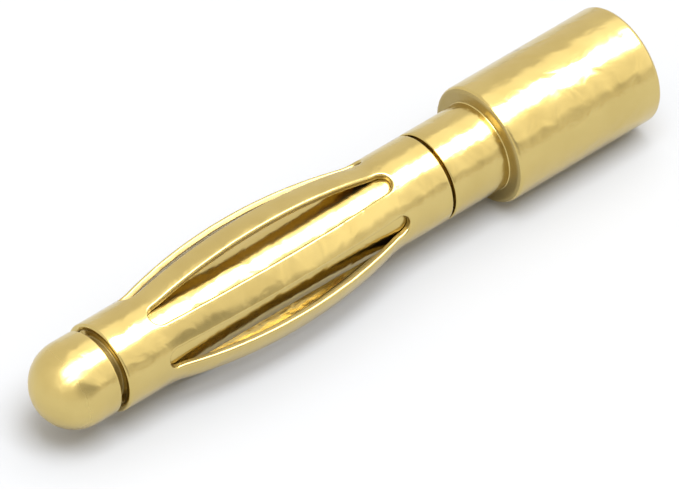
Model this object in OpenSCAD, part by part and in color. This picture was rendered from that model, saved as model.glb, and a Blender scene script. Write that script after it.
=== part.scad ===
// Sprung bullet plug, 4 mm size: a turned pin with a ball nose and a solder cup,
// and a slotted cage of spring sheet rolled round the pin's core.
// The plug lies along X, nose towards -X, and rests on the XY plane.

/* [Ball nose] */
// Diameter of the ball nose
nose_d = 3.13; // [3:0.01:3.3]
// Length of the nose, from its tip to its rear face
nose_len = 2.37; // [1.9:0.01:3.2]
// Rounding of the nose's rear edge
nose_edge_r = 0.12; // [0.03:0.01:0.2]

/* [Core and shank] */
// Diameter of the core that carries the cage
core_d = 2.82; // [2.6:0.01:2.9]
// Diameter of the relief turned behind the nose
neck_d = 2.3; // [2:0.1:2.5]
// Length of the relief, which runs in under the front collar
neck_len = 0.35; // [0.1:0.05:0.6]
// Length of the shank between the cage and the solder cup
shank_len = 2.4; // [1:0.1:5]
// Rounding of the shank's front edge
shank_edge_r = 0.05; // [0.02:0.01:0.1]

/* [Solder cup] */
// Bore that takes the stripped lead
bore_d = 3.4; // [2.8:0.1:4.2]
// Wall of the cup round the bore
cup_wall = 0.5; // [0.35:0.05:0.8]
// Length of the cup, from the shoulder to the rim
cup_len = 6.5; // [4:0.1:10]
// Solid metal between the shoulder and the full width of the bore
cup_floor = 1; // [0.6:0.1:2]
// Included angle of the drill point at the bottom of the bore
drill_angle = 118; // [90:1:140]
// Rounding of the cup's shoulder
shoulder_edge_r = 0.2; // [0.03:0.01:0.3]
// Rounding of the rim's outer edge
rim_edge_r = 0.2; // [0.03:0.01:0.3]
// Chamfer at the mouth of the bore
mouth_chamfer = 0.12; // [0.03:0.01:0.2]

/* [Spring cage] */
// Thickness of the spring sheet
sheet_t = 0.23; // [0.15:0.01:0.3]
// Length of the unslotted collar at the front
front_collar_len = 1.82; // [1:0.01:3]
// Length of the unslotted collar at the rear
rear_collar_len = 1.94; // [1:0.01:3]
// Length of the slots, from tip to tip
slot_len = 10.62; // [7:0.01:15]
// Number of blades
blade_count = 6; // [5:1:7]
// Width of each blade
blade_w = 0.99; // [0.8:0.01:1.1]
// Diameter over the bowed blades, unmated
bulge_d = 4.56; // [4:0.02:5]
// Radius that leads each blade out of its collar
bow_blend_r = 3; // [1:0.1:5]
// Rounding of the collars' outer edges
collar_edge_r = 0.08; // [0.03:0.01:0.12]
// Width of the seam where the rolled sheet meets itself
seam_gap = 0.1; // [0.05:0.01:0.2]
// Slot that the seam lines up with
seam_slot = 1; // [0:1:4]
// Turn of the cage, measured from a blade straight down
cage_turn = -10; // [-30:0.1:30]

/* [Clearances] */
// Radial clearance of the collars on the core
collar_fit = 0.01; // [0.005:0.005:0.03]
// Room for the cage to lengthen, between the nose and the front collar
front_gap = 0.25; // [0.1:0.01:0.5]
// Gap between the rear collar and the shank
rear_gap = 0.1; // [0.03:0.01:0.2]

/* [Hidden] */
$fn = 96;
GOLD = [0.86, 0.71, 0.36];
CAGE_GOLD = [0.9, 0.76, 0.42];

// Radii
nose_r = nose_d / 2;
core_r = core_d / 2;
neck_r = neck_d / 2;
bore_r = bore_d / 2;
cup_r = bore_r + cup_wall;
bulge_r = bulge_d / 2;
collar_inner_r = core_r + collar_fit;
collar_r = collar_inner_r + sheet_t;
shank_r = collar_r;

// Stations along the axis, from the tip of the nose
cage_x = nose_len + front_gap;
slot_x = cage_x + front_collar_len;
slot_end_x = slot_x + slot_len;
cage_end_x = slot_end_x + rear_collar_len;
shank_x = cage_end_x + rear_gap;
cup_x = shank_x + shank_len;
overall_len = cup_x + cup_len;
bore_x = cup_x + cup_floor;
drill_x = bore_x - bore_r / tan(drill_angle / 2);
axis_z = max(bulge_r, cup_r);

// Edge roundings, held to the metal that carries them
nose_edge = min(nose_edge_r, nose_r - neck_r);
rim_edge = min(rim_edge_r, cup_wall / 2);
mouth_edge = min(mouth_chamfer, cup_wall / 3);

// The bow of a blade is one arc, led out of each collar by a blend that it is tangent to
bow_rise = bulge_r - collar_r;
bow_half = slot_len / 2;
bow_r = (bow_half ^ 2 + bow_rise ^ 2) / (2 * bow_rise) - bow_blend_r;
bow_angle = asin(bow_half / (bow_r + bow_blend_r));
bow_steps = 24;
blend_steps = 4;
edge_steps = 6;
nose_steps = 24;

// A slot is a wedge whose sides run parallel to the blades beside it
slot_half_angle = 180 / blade_count;
slot_apex_r = blade_w / 2 / sin(slot_half_angle);
slot_end_r = (collar_r - slot_apex_r) * tan(slot_half_angle);
cutter_depth = bulge_r + 1 - slot_apex_r;
cutter_half_w = cutter_depth * tan(slot_half_angle);

// Points of an arc in the half section, where 0 degrees points away from the axis
function arc(centre, r, from, to, steps) = [
    for (i = [0 : steps])
        let (a = from + (to - from) * i / steps)
            centre + r * [cos(a), sin(a)]
];
function inner_points(points) = [for (i = [1 : len(points) - 2]) points[i]];
function reversed(points) = [for (i = [len(points) - 1 : -1 : 0]) points[i]];

// One face of the bowed sheet, depth below its outer face, from front to rear
function bow(depth) = concat(
    arc([collar_r + bow_blend_r, slot_x], bow_blend_r + depth, 180, 180 - bow_angle, blend_steps),
    inner_points(arc([bulge_r - bow_r, slot_x + bow_half], bow_r - depth, -bow_angle, bow_angle, bow_steps)),
    arc([collar_r + bow_blend_r, slot_end_x], bow_blend_r + depth, 180 + bow_angle, 180, blend_steps)
);

// Puts what is made along Z, from z = 0, on the plug's axis
module on_axis() {
    translate([-overall_len / 2, 0, axis_z]) rotate([0, 90, 0]) children();
}

// Nose, core, shank and cup are one turned piece
module pin() {
    color(GOLD) on_axis() rotate_extrude() polygon(concat(
        arc([0, nose_r], nose_r, -90, 0, nose_steps),
        arc([nose_r - nose_edge, nose_len - nose_edge], nose_edge, 0, 90, edge_steps),
        [[neck_r, nose_len], [neck_r, nose_len + neck_len]],
        [[core_r, nose_len + neck_len], [core_r, shank_x]],
        arc([shank_r - shank_edge_r, shank_x + shank_edge_r], shank_edge_r, -90, 0, edge_steps),
        [[shank_r, cup_x]],
        arc([cup_r - shoulder_edge_r, cup_x + shoulder_edge_r], shoulder_edge_r, -90, 0, edge_steps),
        arc([cup_r - rim_edge, overall_len - rim_edge], rim_edge, 0, 90, edge_steps),
        [[bore_r + mouth_edge, overall_len], [bore_r, overall_len - mouth_edge]],
        [[bore_r, bore_x], [0, drill_x]]
    ));
}

// The rolled sheet before its slots are cut
module bowed_sheet() {
    rotate_extrude() polygon(concat(
        arc([collar_r - collar_edge_r, cage_x + collar_edge_r], collar_edge_r, -90, 0, edge_steps),
        bow(0),
        arc([collar_r - collar_edge_r, cage_end_x - collar_edge_r], collar_edge_r, 0, 90, edge_steps),
        [[collar_inner_r, cage_end_x]],
        reversed(bow(sheet_t)),
        [[collar_inner_r, cage_x]]
    ));
}

// Cone that gives a slot its round end
module slot_end(x) {
    translate([slot_apex_r, 0, x]) rotate([0, 90, 0]) cylinder(h = cutter_depth, r1 = 0, r2 = cutter_half_w);
}

// Cutter for one slot, which opens away from the axis
module slot_cutter() {
    translate([slot_apex_r, 0, slot_x + slot_end_r]) linear_extrude(slot_len - 2 * slot_end_r)
        polygon([[0, 0], [cutter_depth, -cutter_half_w], [cutter_depth, cutter_half_w]]);
    slot_end(slot_x + slot_end_r);
    slot_end(slot_end_x - slot_end_r);
}

// Seam through both collars, in line with one slot
module seam_cutter() {
    translate([core_r - 1, -seam_gap / 2, cage_x - 1])
        cube([bulge_r - core_r + 2, seam_gap, cage_end_x - cage_x + 2]);
}

// Turns a cutter to the slot with the given number
module at_slot(number) {
    rotate([0, 0, cage_turn + (2 * number + 1) * slot_half_angle]) children();
}

module spring_cage() {
    color(CAGE_GOLD) on_axis() difference() {
        bowed_sheet();
        for (number = [0 : blade_count - 1]) at_slot(number) slot_cutter();
        at_slot(seam_slot) seam_cutter();
    }
}

pin();
spring_cage();
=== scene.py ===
import math

import bmesh
import bpy
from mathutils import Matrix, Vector


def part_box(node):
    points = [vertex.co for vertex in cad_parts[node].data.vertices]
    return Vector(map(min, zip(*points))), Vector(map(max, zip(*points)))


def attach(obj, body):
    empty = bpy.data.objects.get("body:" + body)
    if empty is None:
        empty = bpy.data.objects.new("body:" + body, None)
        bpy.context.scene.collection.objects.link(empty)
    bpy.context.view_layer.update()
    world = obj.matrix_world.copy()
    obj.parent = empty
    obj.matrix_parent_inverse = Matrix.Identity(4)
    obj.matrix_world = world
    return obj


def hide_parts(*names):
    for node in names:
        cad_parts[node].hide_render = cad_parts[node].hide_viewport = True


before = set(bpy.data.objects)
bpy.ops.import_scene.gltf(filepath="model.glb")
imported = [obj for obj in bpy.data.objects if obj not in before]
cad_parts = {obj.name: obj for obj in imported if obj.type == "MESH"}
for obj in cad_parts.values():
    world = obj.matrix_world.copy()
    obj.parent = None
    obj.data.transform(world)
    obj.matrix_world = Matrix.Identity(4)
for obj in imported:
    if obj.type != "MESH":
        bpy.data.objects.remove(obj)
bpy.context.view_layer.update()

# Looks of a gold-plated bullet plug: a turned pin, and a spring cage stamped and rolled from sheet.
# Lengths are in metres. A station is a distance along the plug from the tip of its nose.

MM = 0.001

# Points closer than this are one point, and vertices closer than the weld are joined
TOUCHING = 1e-8
WELD = 1e-7

# ---------------------------------------------------------------- sizes from the frame
PIN_LOW, PIN_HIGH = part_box("pin")
CAGE_LOW, CAGE_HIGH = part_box("spring_cage")
TIP_X = PIN_LOW.x
AXIS_Z = (PIN_LOW.z + PIN_HIGH.z) / 2
OVERALL = PIN_HIGH.x - PIN_LOW.x
CUP_R = (PIN_HIGH.z - PIN_LOW.z) / 2
BULGE_R = (CAGE_HIGH.z - CAGE_LOW.z) / 2
CAGE_START = CAGE_LOW.x - TIP_X
CAGE_END = CAGE_HIGH.x - TIP_X

# ---------------------------------------------------------------- the pin's own sizes
NOSE_R = 1.565 * MM
NOSE_LEN = 2.37 * MM
NECK_R = 1.15 * MM
NECK_LEN = 0.35 * MM
CORE_R = 1.41 * MM
SHANK_GAP = 0.1 * MM
SHANK_LEN = 2.4 * MM
CUP_FLOOR = 1.0 * MM
BORE_R = 1.7 * MM
DRILL_ANGLE = math.radians(118)

# Radii of the pin's rounded edges and inner corners. The ball is a hair under the nose's radius, which
# leaves its arc a start beside the axis.
BALL_R = NOSE_R * 0.9999
NOSE_EDGE_R = 0.12 * MM
NECK_CORNER_R = 0.05 * MM
CORE_EDGE_R = 0.03 * MM
CORE_CORNER_R = 0.02 * MM
SHANK_EDGE_R = 0.05 * MM
SHANK_CORNER_R = 0.05 * MM
CUP_EDGE_R = 0.2 * MM
MOUTH_EDGE_R = 0.12 * MM
BORE_CORNER_R = 0.06 * MM

# ---------------------------------------------------------------- the cage's own sizes
SHEET = 0.23 * MM
COLLAR_R = 1.65 * MM
FRONT_COLLAR = 1.82 * MM
REAR_COLLAR = 1.94 * MM
BLADES = 6
BLADE_W = 0.99 * MM
BOW_BLEND_R = 3.0 * MM
SEAM = 0.1 * MM
CAGE_TURN = math.radians(-10)
SEAM_SLOT = 1

# The pin's shank is as wide as the collar that ends beside it
SHANK_R = COLLAR_R

# Rounding that the stamping die leaves on a slot's outer edge, and the small one on its inner edge
EDGE_R = 0.09 * MM
BURR_R = 0.03 * MM

# ---------------------------------------------------------------- stations
SHANK_START = CAGE_END + SHANK_GAP
CUP_START = SHANK_START + SHANK_LEN
BORE_FLOOR = CUP_START + CUP_FLOOR
DRILL_TIP = BORE_FLOOR - BORE_R / math.tan(DRILL_ANGLE / 2)
SLOT_START = CAGE_START + FRONT_COLLAR
SLOT_END = CAGE_END - REAR_COLLAR


# ---------------------------------------------------------------- node trees written as expressions
class Wire:
    """A socket's value in a node tree. Arithmetic on it adds Math nodes to the tree."""

    def __init__(self, graph, socket):
        self.graph = graph
        self.socket = socket

    def math(self, operation, *others):
        values = dict(enumerate((self,) + others))
        return self.graph.add("ShaderNodeMath", {"operation": operation}, values)

    def __add__(self, other):
        return self.math("ADD", other)

    __radd__ = __add__

    def __sub__(self, other):
        return self.math("SUBTRACT", other)

    def __rsub__(self, other):
        return (self * -1) + other

    def __mul__(self, other):
        return self.math("MULTIPLY", other)

    __rmul__ = __mul__

    def __truediv__(self, other):
        return self.math("DIVIDE", other)

    def __abs__(self):
        return self.math("ABSOLUTE")

    def __lt__(self, other):
        return self.math("LESS_THAN", other)

    def __gt__(self, other):
        return self.math("GREATER_THAN", other)

    def least(self, other):
        return self.math("MINIMUM", other)

    def most(self, other):
        return self.math("MAXIMUM", other)

    def root(self):
        return self.math("SQRT")

    def at(self, name):
        """Another output of the same node."""
        return Wire(self.graph, self.socket.node.outputs[name])


class Graph:
    """A node tree that is built up one node at a time."""

    def __init__(self, tree):
        self.tree = tree

    def add(self, kind, settings=None, inputs=None, output=0):
        """A new node with its settings made first, then the values or wires of its sockets."""
        node = self.tree.nodes.new(kind)
        for name, value in (settings or {}).items():
            setattr(node, name, value)
        for name, value in (inputs or {}).items():
            if isinstance(value, Wire):
                self.tree.links.new(value.socket, node.inputs[name])
            else:
                node.inputs[name].default_value = value
        return Wire(self, node.outputs[output]) if node.outputs else node


# ---------------------------------------------------------------- gold
DEEP_GOLD = (0.54, 0.412, 0.142, 1)
BRIGHT_GOLD = (0.66, 0.522, 0.205, 1)
# Gold darkened as painted shade, for the pin's recesses and the sheared walls of the slots
SHADED_GOLD = (0.32, 0.245, 0.10, 1)

# Roughness of the plate on each piece, and how much its patches vary it
TURNED_ROUGH = 0.11
SHEET_ROUGH = 0.13
PATCHY_ROUGH = 0.1

# How close the marks on the metal lie, and how high its waves and lines stand
PATCHES_PER_M = 700
WAVES_PER_M = 1100
RINGS_PER_M = 16000
GRAIN_PER_RADIAN = 60
WAVE_HEIGHT = 0.05 * MM
LINE_HEIGHT = 0.001 * MM

# Where the pin's recesses lie, which get painted shade: their stations, and the radius that they stay
# under or over
NECK_SPAN = (NOSE_LEN - 0.03 * MM, NOSE_LEN + NECK_LEN)
NECK_UNDER = NOSE_R - 0.1 * MM
GAP_SPAN = (CAGE_END - 0.1 * MM, SHANK_START + 0.03 * MM)
GAP_UNDER = COLLAR_R - 0.04 * MM
SHOULDER_SPAN = (CUP_START - 0.05 * MM, CUP_START + 0.06 * MM)
SHOULDER_OVER = SHANK_R + 0.02 * MM

# Painted shade: how far each place turns to the shaded gold, and how much rougher it is
NECK_SHADE, NECK_SATIN = 0.7, 0.3
GAP_SHADE = 0.5
SHOULDER_SHADE, SHOULDER_SATIN = 0.7, 0.25
SHEARED_SHADE, SHEARED_SATIN = 0.9, 0.2
NOSE_SATIN, NOSE_SATIN_LEN = 0.2, 1.6 * MM
LATHE_SATIN = 0.03


def mix(graph, share, low, high):
    """A colour between two colours."""
    settings = {"data_type": "RGBA"}
    return graph.add("ShaderNodeMix", settings, {"Factor": share, "A": low, "B": high}, "Result")


def between(value, low, high):
    """1 where a value lies between two limits, and 0 elsewhere."""
    return (value > low) * (value < high)


def turned_marks_and_painted_shade(station, radius):
    """Fine rings that the lathe leaves, painted shade in the pin's recesses, and where it is satin:
    (lines, painted_shade, satin).
    """
    graph = station.graph
    lines = graph.add("ShaderNodeTexNoise", {"noise_dimensions": "1D"},
                      {"W": (station + radius) * RINGS_PER_M, "Scale": 1, "Detail": 2})
    neck = between(station, *NECK_SPAN) * (radius < NECK_UNDER)
    gap = between(station, *GAP_SPAN) * (radius < GAP_UNDER)
    shoulder = between(station, *SHOULDER_SPAN) * (radius > SHOULDER_OVER)
    nose = 1 - (station / NOSE_SATIN_LEN).least(1)
    # Painted shade where shade falls in the neck, in the gap between the cage and the shank, and at the
    # cup's shoulder
    painted_shade = neck * NECK_SHADE + gap * GAP_SHADE + shoulder * SHOULDER_SHADE
    satin = nose * NOSE_SATIN + neck * NECK_SATIN + shoulder * SHOULDER_SATIN + LATHE_SATIN
    return lines, painted_shade, satin


def rolled_marks_and_painted_shade(y, z):
    """Fine grain along the rolled sheet, and painted shade and a rougher finish on the sheared walls of
    its slots: (lines, painted_shade, satin).
    """
    graph = y.graph
    lines = graph.add("ShaderNodeTexNoise", {"noise_dimensions": "1D"},
                      {"W": z.math("ARCTAN2", y) * GRAIN_PER_RADIAN, "Scale": 1, "Detail": 2})
    sheared = graph.add("ShaderNodeAttribute", {"attribute_name": "sheared"}, None, "Fac")
    # Painted shade on the sheared walls of the slots, which are also made rougher
    return lines, sheared * SHEARED_SHADE, sheared * SHEARED_SATIN


def plated_gold(name, rough, turned_metal):
    """Polished gold plate over turned brass, or over rolled spring sheet."""
    material = bpy.data.materials.new(name)
    material.use_nodes = True
    graph = Graph(material.node_tree)
    shader = graph.tree.nodes["Principled BSDF"]
    place = graph.add("ShaderNodeTexCoord", output="Object")
    centred = graph.add("ShaderNodeMapping", None, {"Vector": place, "Location": (0, 0, -AXIS_Z)})
    x = graph.add("ShaderNodeSeparateXYZ", None, {"Vector": centred}, "X")
    y, z = x.at("Y"), x.at("Z")
    radius = (y * y + z * z).root()
    lines, painted_shade, satin = turned_marks_and_painted_shade(x - TIP_X, radius) if turned_metal else rolled_marks_and_painted_shade(y, z)

    patches = graph.add("ShaderNodeTexNoise", None, {
        "Vector": centred, "Scale": PATCHES_PER_M, "Detail": 3,
    })
    waves = graph.add("ShaderNodeTexNoise", None, {
        "Vector": centred, "Scale": WAVES_PER_M, "Detail": 2, "Roughness": 0.35, "Distortion": 0.6,
    })
    gold = mix(graph, patches, DEEP_GOLD, BRIGHT_GOLD)
    # Painted shade: the recesses and the sheared walls turn toward the shaded gold
    colour = mix(graph, painted_shade, gold, SHADED_GOLD)
    waved = graph.add("ShaderNodeBump", None, {"Height": waves, "Strength": 1, "Distance": WAVE_HEIGHT})
    lined = graph.add("ShaderNodeBump", None,
                      {"Height": lines, "Strength": 0.3, "Distance": LINE_HEIGHT, "Normal": waved})
    graph.tree.links.new(colour.socket, shader.inputs["Base Color"])
    graph.tree.links.new((patches * PATCHY_ROUGH + satin + rough).socket, shader.inputs["Roughness"])
    graph.tree.links.new(lined.socket, shader.inputs["Normal"])
    shader.inputs["Metallic"].default_value = 1
    return material


# ---------------------------------------------------------------- turned pin
TURNED_SIDES = 192
EDGE_TURN = 8
BALL_TURN = 48
LONGEST_STEP = 0.4 * MM


def rounded_corner(before, corner, after):
    """Points along the arc that rounds a corner (x, r, radius) between its two neighbours."""
    here, radius = Vector(corner[:2]), corner[2]
    back = (Vector(before[:2]) - here).normalized()
    on = (Vector(after[:2]) - here).normalized()
    half = back.angle(on) / 2
    centre = here + (back + on).normalized() * radius / math.sin(half)
    first = here + back * radius / math.tan(half) - centre
    last = here + on * radius / math.tan(half) - centre
    sweep = math.pi - 2 * half
    steps = BALL_TURN if radius == BALL_R else EDGE_TURN
    points = []
    for step in range(steps + 1):
        angle = sweep * step / steps
        spoke = (first * math.sin(sweep - angle) + last * math.sin(angle)) / math.sin(sweep)
        points.append(centre + spoke)
    return points


def rounded_outline(corners):
    """Points along a polyline whose corners are rounded, with short steps on its straights."""
    points = [Vector(corners[0][:2])]
    for before, corner, after in zip(corners, corners[1:], corners[2:]):
        points += rounded_corner(before, corner, after)
    points.append(Vector(corners[-1][:2]))
    stepped = [points[0]]
    for point in points[1:]:
        start = stepped[-1]
        gap = (point - start).length
        if gap < TOUCHING:
            continue
        parts = max(1, math.ceil(gap / LONGEST_STEP))
        stepped += [start.lerp(point, part / parts) for part in range(1, parts + 1)]
    return stepped


def turned(name, outline):
    """A closed solid of revolution round the plug's axis. The outline starts and ends on the axis."""
    mesh = bmesh.new()
    turns = [2 * math.pi * side / TURNED_SIDES for side in range(TURNED_SIDES)]
    rings = []
    for x, r in outline:
        if r < TOUCHING:
            ring = [mesh.verts.new((TIP_X + x, 0, AXIS_Z))] * TURNED_SIDES
        else:
            ring = [mesh.verts.new((TIP_X + x, r * math.sin(a), AXIS_Z - r * math.cos(a))) for a in turns]
        rings.append(ring)
    for one, two in zip(rings, rings[1:]):
        for side in range(TURNED_SIDES):
            other = (side + 1) % TURNED_SIDES
            # At a pole two of these corners are one vertex, which the face takes once
            corners = [one[side], one[other], two[other], two[side]]
            mesh.faces.new(list(dict.fromkeys(corners)))
    bmesh.ops.recalc_face_normals(mesh, faces=mesh.faces)
    return as_object(name, mesh)


def as_object(name, mesh):
    """A finished bmesh as a smooth object."""
    data = bpy.data.meshes.new(name)
    mesh.to_mesh(data)
    mesh.free()
    data.shade_smooth()
    made = bpy.data.objects.new(name, data)
    bpy.context.scene.collection.objects.link(made)
    return made


def turned_pin():
    """Ball nose, neck, core, shank, and the cup with its drilled bore, from one bar."""
    outline = rounded_outline([
        (0, 0, 0),
        (0, NOSE_R, BALL_R),
        (NOSE_LEN, NOSE_R, NOSE_EDGE_R),
        (NOSE_LEN, NECK_R, NECK_CORNER_R),
        (NOSE_LEN + NECK_LEN, NECK_R, NECK_CORNER_R),
        (NOSE_LEN + NECK_LEN, CORE_R, CORE_EDGE_R),
        (SHANK_START, CORE_R, CORE_CORNER_R),
        (SHANK_START, SHANK_R, SHANK_EDGE_R),
        (CUP_START, SHANK_R, SHANK_CORNER_R),
        (CUP_START, CUP_R, CUP_EDGE_R),
        (OVERALL, CUP_R, CUP_EDGE_R),
        (OVERALL, BORE_R, MOUTH_EDGE_R),
        (BORE_FLOOR, BORE_R, BORE_CORNER_R),
        (DRILL_TIP, 0, 0),
    ])
    return turned("turned_pin", outline)


# ---------------------------------------------------------------- rolled spring cage
PITCH = 2 * math.pi * COLLAR_R / BLADES
SLOT_R = (PITCH - BLADE_W) / 2

# In from an edge, where the sheet's faces are flat again, and how wide the strip at each end is
FLAT_FROM = EDGE_R * 1.3
END_STRIP = 2 * EDGE_R
# A hair above the line where the rolled edge turns into the sheared wall
WALL_FROM = EDGE_R * 0.99

# Rays round a slot's end and along its side, and steps round the edge and across the face
END_RAYS = 32
BLADE_RAYS = 56
EDGE_STEPS = 6
FACE_STEPS = 6


def sheet_edge():
    """Section of the sheet's stamped edge, as (distance in from the edge, depth below the outer face)."""
    quarter = [math.pi / 2 * step / EDGE_STEPS for step in range(EDGE_STEPS + 1)]
    rolled = [(EDGE_R * (1 - math.sin(a)), EDGE_R * (1 - math.cos(a))) for a in quarter]
    sheared = [(BURR_R * (1 - math.cos(a)), SHEET - BURR_R * (1 - math.sin(a))) for a in quarter]
    return [(FLAT_FROM, 0)] + rolled + sheared + [(FLAT_FROM, SHEET)]


def rays_round_slot(front, rear):
    """Rays into the metal from the edge of half a slot, as (edge point, direction, end of the ray)."""
    half = PITCH / 2
    rays = []
    for n in range(END_RAYS + 1):
        a = math.pi / 2 * (1 - n / END_RAYS)
        share = 2 * n / END_RAYS
        edge = Vector((SLOT_START + SLOT_R * (1 - math.sin(a)), half - SLOT_R * math.cos(a)))
        to_front = Vector((front, half * (1 - share)))
        to_middle = Vector((front + (SLOT_START + SLOT_R - front) * (share - 1), 0))
        rays.append((edge, Vector((-math.sin(a), -math.cos(a))), to_front if share <= 1 else to_middle))
    for n in range(1, BLADE_RAYS):
        x = SLOT_START + SLOT_R + (SLOT_END - SLOT_START - 2 * SLOT_R) * n / BLADE_RAYS
        rays.append((Vector((x, half - SLOT_R)), Vector((0, -1)), Vector((x, 0))))
    for n in range(END_RAYS + 1):
        a = math.pi / 2 * n / END_RAYS
        share = 2 * n / END_RAYS
        edge = Vector((SLOT_END - SLOT_R * (1 - math.sin(a)), half - SLOT_R * math.cos(a)))
        to_middle = Vector((SLOT_END - SLOT_R + (rear - SLOT_END + SLOT_R) * share, 0))
        to_rear = Vector((rear, half * (share - 1)))
        rays.append((edge, Vector((math.sin(a), -math.cos(a))), to_rear if share >= 1 else to_middle))
    return rays


def flat_blade():
    """One blade of the flat blank, with half a slot on each side and its share of both collars.
    X runs along the plug, Y across the blade, and Z is zero on the outer face."""
    edge = sheet_edge()
    mesh = bmesh.new()
    side_wall = mesh.faces.layers.bool.new("side_wall")
    sheared = mesh.verts.layers.float.new("sheared")
    on_wall = [inset < EDGE_R / 2 and depth > WALL_FROM for inset, depth in edge]
    rays = rays_round_slot(CAGE_START + END_STRIP, CAGE_END - END_STRIP)
    half_end = END_RAYS // 2
    for flip in (1, -1):
        columns = []
        for start, way, end in rays:
            near = start + way * FLAT_FROM
            face = [end.lerp(near, step / FACE_STEPS) for step in range(FACE_STEPS)]
            column = [(*point, 0) for point in face]
            column += [(*(start + way * inset), -depth) for inset, depth in edge]
            column += [(*point, -SHEET) for point in reversed(face)]
            columns.append([mesh.verts.new((px, py * flip, pz)) for px, py, pz in column])
            for vertex, wall in zip(columns[-1][FACE_STEPS:], on_wall):
                vertex[sheared] = wall
        for one, two in zip(columns, columns[1:]):
            for a, b, c, d in zip(one, two, two[1:], one[1:]):
                mesh.faces.new((a, b, c, d))
        front_end = (columns[:half_end + 1], CAGE_START, 1)
        rear_end = (columns[-half_end - 1:], CAGE_END, -1)
        for ends, x_end, way in (front_end, rear_end):
            strips = []
            for column in ends:
                y_here = column[0].co.y
                turn = [mesh.verts.new((x_end + way * inset, y_here, -depth)) for inset, depth in edge]
                strips.append([column[0]] + turn + [column[-1]])
            for one, two in zip(strips, strips[1:]):
                for a, b, c, d in zip(one, one[1:], two[1:], two):
                    mesh.faces.new((a, b, c, d))
            seam_side = 0 if way == 1 else -1
            loop = ends[seam_side] + strips[seam_side][-2:0:-1]
            mesh.faces.new(loop)[side_wall] = True
    bmesh.ops.remove_doubles(mesh, verts=mesh.verts, dist=TOUCHING)
    bmesh.ops.recalc_face_normals(mesh, faces=mesh.faces)
    return as_object("spring_cage_rolled", mesh)


def cage_tree():
    """Geometry nodes that set the flat blades side by side, weld them, bow the sheet and roll it up."""
    tree = bpy.data.node_groups.new("roll_the_cage", "GeometryNodeTree")
    tree.interface.new_socket("Geometry", in_out="INPUT", socket_type="NodeSocketGeometry")
    kinds = {"Blades": "NodeSocketInt", "Gold": "NodeSocketMaterial"}
    names = ("Blades", "Pitch", "Collar radius", "Bulge radius", "Lead-in radius", "Slot start",
             "Slot end", "Seam", "Seam angle", "Axis height", "Tip", "Gold")
    for name in names:
        tree.interface.new_socket(name, in_out="INPUT", socket_type=kinds.get(name, "NodeSocketFloat"))
    tree.interface.new_socket("Geometry", in_out="OUTPUT", socket_type="NodeSocketGeometry")
    graph = Graph(tree)
    given = graph.add("NodeGroupInput")
    size = {name: given.at(name) for name in names}

    width = size["Blades"] * size["Pitch"]
    first = graph.add("ShaderNodeCombineXYZ", None, {"Y": (size["Pitch"] - width) * 0.5})
    step = graph.add("ShaderNodeCombineXYZ", None, {"Y": size["Pitch"]})
    line = graph.add("GeometryNodeMeshLine", None,
                     {"Count": size["Blades"], "Start Location": first, "Offset": step})
    blank = {"Points": line, "Instance": given.at("Geometry")}
    row = graph.add("GeometryNodeInstanceOnPoints", None, blank)
    row = graph.add("GeometryNodeRealizeInstances", None, {"Geometry": row})

    # The side walls between two blades go before the weld, and those at the seam stay
    place = graph.add("GeometryNodeInputPosition")
    x = graph.add("ShaderNodeSeparateXYZ", None, {"Vector": place}, "X")
    y, z = x.at("Y"), x.at("Z")
    flagged = graph.add("GeometryNodeInputNamedAttribute", {"data_type": "BOOLEAN"}, {"Name": "side_wall"})
    inside = abs(y) < width * 0.5 - size["Pitch"] * 0.25
    both = graph.add("FunctionNodeBooleanMath", {"operation": "AND"}, {0: flagged, 1: inside})
    row = graph.add("GeometryNodeDeleteGeometry", {"domain": "FACE"}, {"Geometry": row, "Selection": both})
    row = graph.add("GeometryNodeMergeByDistance", None, {"Geometry": row, "Distance": WELD})

    # Along the plug the sheet leaves the collar on one arc and bows on another. The two have one tangent.
    slot_half = (size["Slot end"] - size["Slot start"]) * 0.5
    from_middle = x - size["Slot start"] - slot_half
    away = abs(from_middle)
    rise = size["Bulge radius"] - size["Collar radius"]
    both_radii = (slot_half * slot_half + rise * rise) / (rise * 2)
    lead_r = size["Lead-in radius"]
    bow_r = both_radii - lead_r
    bow_half = slot_half * bow_r / both_radii
    lead = (slot_half - away).most(0).least(slot_half - bow_half)
    on_bow = away.least(bow_half)
    led = lead_r - (lead_r * lead_r - lead * lead).root()
    bowed = (bow_r * bow_r - on_bow * on_bow).root() - (bow_r * bow_r - bow_half * bow_half).root()
    slope_sine = (lead / lead_r).least(away / bow_r)
    slope_cosine = (1 - slope_sine * slope_sine).root()
    radius = size["Collar radius"] + led + bowed + z * slope_cosine
    slid = x + z * slope_sine * from_middle.math("SIGN")

    # Round the plug each blade turns about its own middle, so it keeps its width as the radius grows
    trim = (width - size["Seam"]) * 0.5
    round_sheet = y.least(trim).most(trim * -1)
    blade = (y / size["Pitch"] + size["Blades"] * 0.5).math("FLOOR")
    blade_middle = (blade + 0.5) * size["Pitch"] - width * 0.5
    across = (round_sheet - blade_middle) / (size["Collar radius"] + led + bowed)
    angle = size["Seam angle"] + math.pi - blade_middle / size["Collar radius"] - across
    rolled = graph.add("ShaderNodeCombineXYZ", None, {
        "X": size["Tip"] + slid,
        "Y": radius * angle.math("SINE"),
        "Z": size["Axis height"] - radius * angle.math("COSINE"),
    })
    cage = graph.add("GeometryNodeSetPosition", None, {"Geometry": row, "Position": rolled})
    cage = graph.add("GeometryNodeSetShadeSmooth", None, {"Geometry": cage})
    cage = graph.add("GeometryNodeRealizeInstances", None, {"Geometry": cage})
    cage = graph.add("GeometryNodeSetMaterial", None, {"Geometry": cage, "Material": size["Gold"]})
    graph.add("NodeGroupOutput", None, {"Geometry": cage})
    return tree


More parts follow.
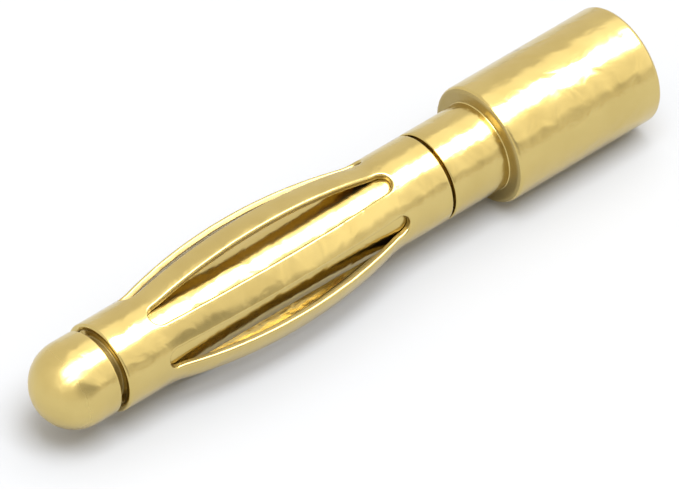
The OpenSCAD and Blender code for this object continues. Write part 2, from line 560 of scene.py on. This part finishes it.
def rolled_cage(gold):
    """The whole cage as one plain mesh, with its seam at one of its slots."""
    cage = flat_blade()
    tree = cage_tree()
    modifier = cage.modifiers.new("roll", "NODES")
    modifier.node_group = tree
    values = {
        "Blades": BLADES, "Pitch": PITCH, "Collar radius": COLLAR_R, "Bulge radius": BULGE_R,
        "Lead-in radius": BOW_BLEND_R, "Slot start": SLOT_START, "Slot end": SLOT_END, "Seam": SEAM,
        "Seam angle": CAGE_TURN + (2 * SEAM_SLOT + 1) * math.pi / BLADES,
        "Axis height": AXIS_Z, "Tip": TIP_X, "Gold": gold,
    }
    for socket in tree.interface.items_tree:
        if socket.in_out == "INPUT" and socket.name in values:
            modifier[socket.identifier] = values[socket.name]
    depsgraph = bpy.context.evaluated_depsgraph_get()
    cage.data = bpy.data.meshes.new_from_object(cage.evaluated_get(depsgraph))
    cage.modifiers.clear()
    return cage


# ---------------------------------------------------------------- studio
FLOOR_SIZE = 1.5
PAPER_WHITE = (0.47, 0.475, 0.48, 1)
PAPER_ROUGH = 0.9
SURROUND_WHITE = (1.0, 0.965, 0.915, 1)

# Where the brighter side and the dim corner of the surround lie, and what they add and take
LIT_SIDE = (0.485, -0.241, 0.841)
DIM_CORNER = (0.02, -0.83, 0.55)
LIT_GAIN = 0.7
DIM_LOSS = 0.5

CAMERA_AIM = Vector((-2.733 * MM, -3.453 * MM, AXIS_Z + 3.404 * MM))
CAMERA_AZIMUTH = math.radians(-41.07)
CAMERA_ELEVATION = math.radians(42.44)
CAMERA_DISTANCE = 433.33 * MM
CAMERA_LENS = 689.25


def softbox(name, reach, height_angle, along, width, depth, radiance, colour, for_floor):
    """A rectangular soft light over the plug, its long side along the plug. Its height angle goes up and
    over from the near side's horizon. It lights either the floor or the metal."""
    data = bpy.data.lights.new(name, "AREA")
    data.shape = "RECTANGLE"
    data.size, data.size_y = width, depth
    data.energy = radiance * math.pi * width * depth
    data.color = colour
    light = bpy.data.objects.new(name, data)
    angle = math.radians(height_angle)
    light.location = (along, -reach * math.cos(angle), AXIS_Z + reach * math.sin(angle))
    light.rotation_euler = (math.pi / 2 - angle, 0, 0)
    light.visible_diffuse = for_floor
    light.visible_glossy = not for_floor
    light.visible_camera = False
    bpy.context.scene.collection.objects.link(light)


def toward(graph, way, centre, wide, narrow):
    """1 near a direction, falling to 0 from the narrow to the wide angle round it."""
    centre = Vector(centre).normalized()
    along = graph.add("ShaderNodeVectorMath", {"operation": "DOT_PRODUCT"}, {0: way, 1: centre}, "Value")
    return graph.add("ShaderNodeMapRange", {"interpolation_type": "SMOOTHSTEP"}, {
        "Value": along,
        "From Min": math.cos(math.radians(wide)),
        "From Max": math.cos(math.radians(narrow)),
    }, "Result")


def white_paper():
    """The floor's plain pale finish."""
    material = bpy.data.materials.new("white_paper")
    material.use_nodes = True
    shader = material.node_tree.nodes["Principled BSDF"]
    shader.inputs["Base Color"].default_value = PAPER_WHITE
    shader.inputs["Roughness"].default_value = PAPER_ROUGH
    return material


def pale_floor():
    """A flat sheet under the plug, which isn't part of it."""
    mesh = bmesh.new()
    bmesh.ops.create_grid(mesh, x_segments=1, y_segments=1, size=FLOOR_SIZE)
    floor = as_object("floor", mesh)
    floor.data.materials.append(white_paper())


def white_surround():
    """An even white world with a brighter side and a dim corner."""
    world = bpy.data.worlds.new("white_surround")
    world.use_nodes = True
    graph = Graph(world.node_tree)
    way = graph.add("ShaderNodeTexCoord", output="Generated")
    lit = toward(graph, way, LIT_SIDE, wide=53, narrow=44)
    dim = toward(graph, way, DIM_CORNER, wide=44, narrow=8)
    strength = 1 + lit * LIT_GAIN - dim * DIM_LOSS
    background = graph.tree.nodes["Background"]
    background.inputs["Color"].default_value = SURROUND_WHITE
    graph.tree.links.new(strength.socket, background.inputs["Strength"])
    bpy.context.scene.world = world


def studio():
    """Pale floor, white surround and soft overhead light."""
    pale_floor()
    white_surround()
    softbox("overhead", reach=0.3, height_angle=78.4, along=0, width=0.6, depth=0.165,
            radiance=8, colour=(1, 1, 1), for_floor=False)
    softbox("floor_light", reach=0.4, height_angle=72, along=-0.03, width=0.25, depth=0.25,
            radiance=8.8, colour=(0.95, 1.0, 1.1), for_floor=True)


def camera():
    """Looks down on the plug from its nose end with a long lens."""
    level = math.cos(CAMERA_ELEVATION)
    back = Vector((math.sin(CAMERA_AZIMUTH) * level, -math.cos(CAMERA_AZIMUTH) * level,
                   math.sin(CAMERA_ELEVATION)))
    data = bpy.data.cameras.new("camera")
    data.lens = CAMERA_LENS
    data.clip_start, data.clip_end = 0.05, 5
    made = bpy.data.objects.new("camera", data)
    made.location = CAMERA_AIM + back * CAMERA_DISTANCE
    made.rotation_euler = back.to_track_quat("Z", "Y").to_euler()
    bpy.context.scene.collection.objects.link(made)
    bpy.context.scene.camera = made


# ---------------------------------------------------------------- the plug
bpy.context.scene.view_settings.view_transform = "Standard"
camera()
studio()

pin = turned_pin()
pin.data.materials.append(plated_gold("gold_on_turned_brass", TURNED_ROUGH, turned_metal=True))
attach(pin, "root")
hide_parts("pin")

cage = rolled_cage(plated_gold("gold_on_spring_sheet", SHEET_ROUGH, turned_metal=False))
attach(cage, "root")
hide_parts("spring_cage")
